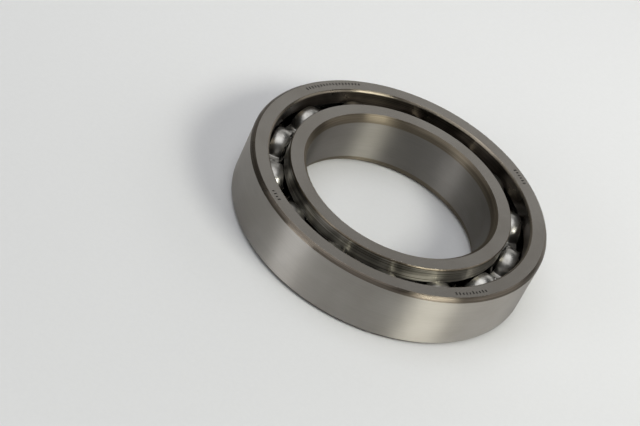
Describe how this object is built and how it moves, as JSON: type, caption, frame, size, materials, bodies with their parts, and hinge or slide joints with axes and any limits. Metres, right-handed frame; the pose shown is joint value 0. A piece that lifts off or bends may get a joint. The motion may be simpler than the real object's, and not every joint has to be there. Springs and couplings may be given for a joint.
{
  "type": "deep-groove ball bearing",
  "caption": "Open single-row deep-groove ball bearing: two grooved rings, balls between them, and a two-piece pressed cage held by rivets.",
  "frame": {"origin": "centre of the bearing, on its axis, halfway between its two side faces", "axes": "+Z along the bearing's axis, out of the front side; ball_01 is on +X"},
  "size_m": [0.08, 0.08, 0.016],
  "materials": {
    "ring_steel": "ground",
    "ball_steel": "polished",
    "cage_steel": "pressed sheet, tumbled",
    "rivet_steel": "formed"
  },
  "bodies": {
    "outer_ring": {"outer_ring": "ring_steel"},
    "inner_ring": {"inner_ring": "ring_steel"},
    "cage": {"cage_front_half": "cage_steel", "cage_rear_half": "cage_steel", "cage_rivets": "rivet_steel"},
    "ball_01": {"ball_01": "ball_steel"},
    "ball_02": {"ball_02": "ball_steel"},
    "ball_03": {"ball_03": "ball_steel"},
    "ball_04": {"ball_04": "ball_steel"},
    "ball_05": {"ball_05": "ball_steel"},
    "ball_06": {"ball_06": "ball_steel"},
    "ball_07": {"ball_07": "ball_steel"},
    "ball_08": {"ball_08": "ball_steel"},
    "ball_09": {"ball_09": "ball_steel"},
    "ball_10": {"ball_10": "ball_steel"},
    "ball_11": {"ball_11": "ball_steel"},
    "ball_12": {"ball_12": "ball_steel"},
    "ball_13": {"ball_13": "ball_steel"},
    "ball_14": {"ball_14": "ball_steel"}
  },
  "joints": [
    {"name": "inner_ring_spin", "type": "hinge", "parent": "outer_ring", "child": "inner_ring", "pos_m": [0, 0, 0], "axis": [0, 0, 1], "continuous": true},
    {"name": "cage_orbit", "type": "hinge", "parent": "outer_ring", "child": "cage", "pos_m": [0, 0, 0], "axis": [0, 0, 1], "continuous": true},
    {"name": "ball_01_roll", "type": "hinge", "parent": "cage", "child": "ball_01", "pos_m": [0.0325, 0, 0], "axis": [0, 0, 1], "continuous": true},
    {"name": "ball_02_roll", "type": "hinge", "parent": "cage", "child": "ball_02", "pos_m": [0.02928, 0.0141, 0], "axis": [0, 0, 1], "continuous": true},
    {"name": "ball_03_roll", "type": "hinge", "parent": "cage", "child": "ball_03", "pos_m": [0.02026, 0.02541, 0], "axis": [0, 0, 1], "continuous": true},
    {"name": "ball_04_roll", "type": "hinge", "parent": "cage", "child": "ball_04", "pos_m": [0.00723, 0.03169, 0], "axis": [0, 0, 1], "continuous": true},
    {"name": "ball_05_roll", "type": "hinge", "parent": "cage", "child": "ball_05", "pos_m": [-0.00723, 0.03169, 0], "axis": [0, 0, 1], "continuous": true},
    {"name": "ball_06_roll", "type": "hinge", "parent": "cage", "child": "ball_06", "pos_m": [-0.02026, 0.02541, 0], "axis": [0, 0, 1], "continuous": true},
    {"name": "ball_07_roll", "type": "hinge", "parent": "cage", "child": "ball_07", "pos_m": [-0.02928, 0.0141, 0], "axis": [0, 0, 1], "continuous": true},
    {"name": "ball_08_roll", "type": "hinge", "parent": "cage", "child": "ball_08", "pos_m": [-0.0325, 0, 0], "axis": [0, 0, 1], "continuous": true},
    {"name": "ball_09_roll", "type": "hinge", "parent": "cage", "child": "ball_09", "pos_m": [-0.02928, -0.0141, 0], "axis": [0, 0, 1], "continuous": true},
    {"name": "ball_10_roll", "type": "hinge", "parent": "cage", "child": "ball_10", "pos_m": [-0.02026, -0.02541, 0], "axis": [0, 0, 1], "continuous": true},
    {"name": "ball_11_roll", "type": "hinge", "parent": "cage", "child": "ball_11", "pos_m": [-0.00723, -0.03169, 0], "axis": [0, 0, 1], "continuous": true},
    {"name": "ball_12_roll", "type": "hinge", "parent": "cage", "child": "ball_12", "pos_m": [0.00723, -0.03169, 0], "axis": [0, 0, 1], "continuous": true},
    {"name": "ball_13_roll", "type": "hinge", "parent": "cage", "child": "ball_13", "pos_m": [0.02026, -0.02541, 0], "axis": [0, 0, 1], "continuous": true},
    {"name": "ball_14_roll", "type": "hinge", "parent": "cage", "child": "ball_14", "pos_m": [0.02928, -0.0141, 0], "axis": [0, 0, 1], "continuous": true}
  ],
  "couplings": [
    {"joint": "cage_orbit", "follows": "inner_ring_spin", "ratio": 0.43284},
    {"joint": "ball_01_roll", "follows": "inner_ring_spin", "ratio": -3.6552},
    {"joint": "ball_02_roll", "follows": "inner_ring_spin", "ratio": -3.6552},
    {"joint": "ball_03_roll", "follows": "inner_ring_spin", "ratio": -3.6552},
    {"joint": "ball_04_roll", "follows": "inner_ring_spin", "ratio": -3.6552},
    {"joint": "ball_05_roll", "follows": "inner_ring_spin", "ratio": -3.6552},
    {"joint": "ball_06_roll", "follows": "inner_ring_spin", "ratio": -3.6552},
    {"joint": "ball_07_roll", "follows": "inner_ring_spin", "ratio": -3.6552},
    {"joint": "ball_08_roll", "follows": "inner_ring_spin", "ratio": -3.6552},
    {"joint": "ball_09_roll", "follows": "inner_ring_spin", "ratio": -3.6552},
    {"joint": "ball_10_roll", "follows": "inner_ring_spin", "ratio": -3.6552},
    {"joint": "ball_11_roll", "follows": "inner_ring_spin", "ratio": -3.6552},
    {"joint": "ball_12_roll", "follows": "inner_ring_spin", "ratio": -3.6552},
    {"joint": "ball_13_roll", "follows": "inner_ring_spin", "ratio": -3.6552},
    {"joint": "ball_14_roll", "follows": "inner_ring_spin", "ratio": -3.6552}
  ]
}
